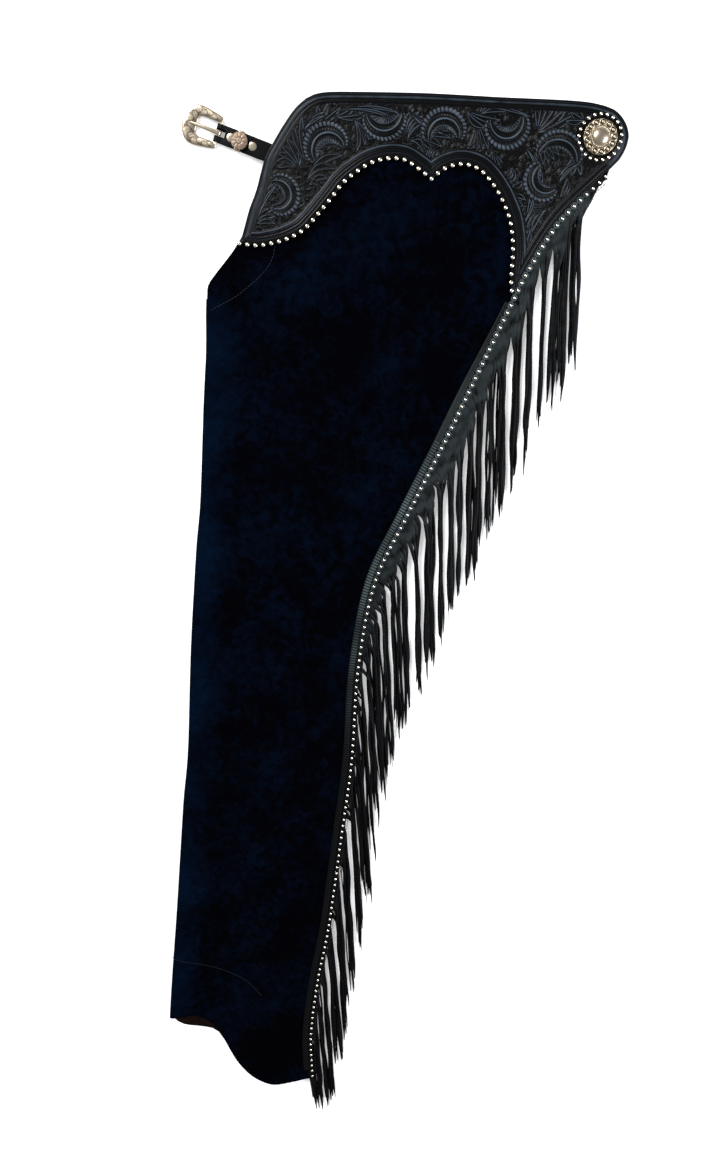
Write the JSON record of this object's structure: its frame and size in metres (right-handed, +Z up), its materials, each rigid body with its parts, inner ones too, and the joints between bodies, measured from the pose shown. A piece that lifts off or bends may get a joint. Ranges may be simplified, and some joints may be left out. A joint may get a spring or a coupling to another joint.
{
  "type": "pair of western show chaps, folded flat",
  "caption": "Dark suede show chaps folded leg on leg, with a tooled scalloped yoke, studded side seam, long leather fringe, a concho and a front strap with an open western buckle.",
  "frame": {"origin": "centre of the object's outline in plan, on the surface that it lies on", "axes": "+Y towards the waist along the legs, +X towards the back seam and its fringe, +Z up out of the outer side of the upper leg"},
  "size_m": [0.4964, 1.1857, 0.017],
  "materials": {
    "black_suede": "napped, matte",
    "tooled_leather": "tooled, waxed satin",
    "fringe_leather": "smooth satin",
    "strap_leather": "smooth satin",
    "zip_tape": "woven tape",
    "nickel_silver": "cast and polished"
  },
  "bodies": {
    "chaps": {"leg_panel": "black_suede", "hidden_leg": "black_suede", "yoke": "tooled_leather", "hidden_yoke": "tooled_leather", "yoke_fringe": "fringe_leather", "thigh_fringe": "fringe_leather", "calf_fringe": "fringe_leather", "hidden_fringe": "fringe_leather", "seam_piping": "tooled_leather", "zip_band": "zip_tape", "concho": "nickel_silver", "front_strap": "strap_leather", "billet_strap": "strap_leather"},
    "buckle": {"buckle_frame": "nickel_silver"},
    "tongue": {"buckle_tongue": "nickel_silver"},
    "keeper": {"strap_keeper": "nickel_silver", "keeper_rosette": "nickel_silver"}
  },
  "joints": [
    {"name": "buckle_lift", "type": "hinge", "parent": "chaps", "child": "buckle", "pos_m": [-0.1477, 0.5569, 0.0035], "axis": [0.3502, 0.9367, 0], "range_deg": [0, 75]},
    {"name": "tongue_lift", "type": "hinge", "parent": "buckle", "child": "tongue", "pos_m": [-0.1477, 0.5569, 0.0035], "axis": [0.3502, 0.9367, 0], "range_deg": [0, 40]},
    {"name": "keeper_slide", "type": "slide", "parent": "chaps", "child": "keeper", "axis": [-0.9367, 0.3502, 0], "range_m": [-0.006, 0.003]}
  ]
}
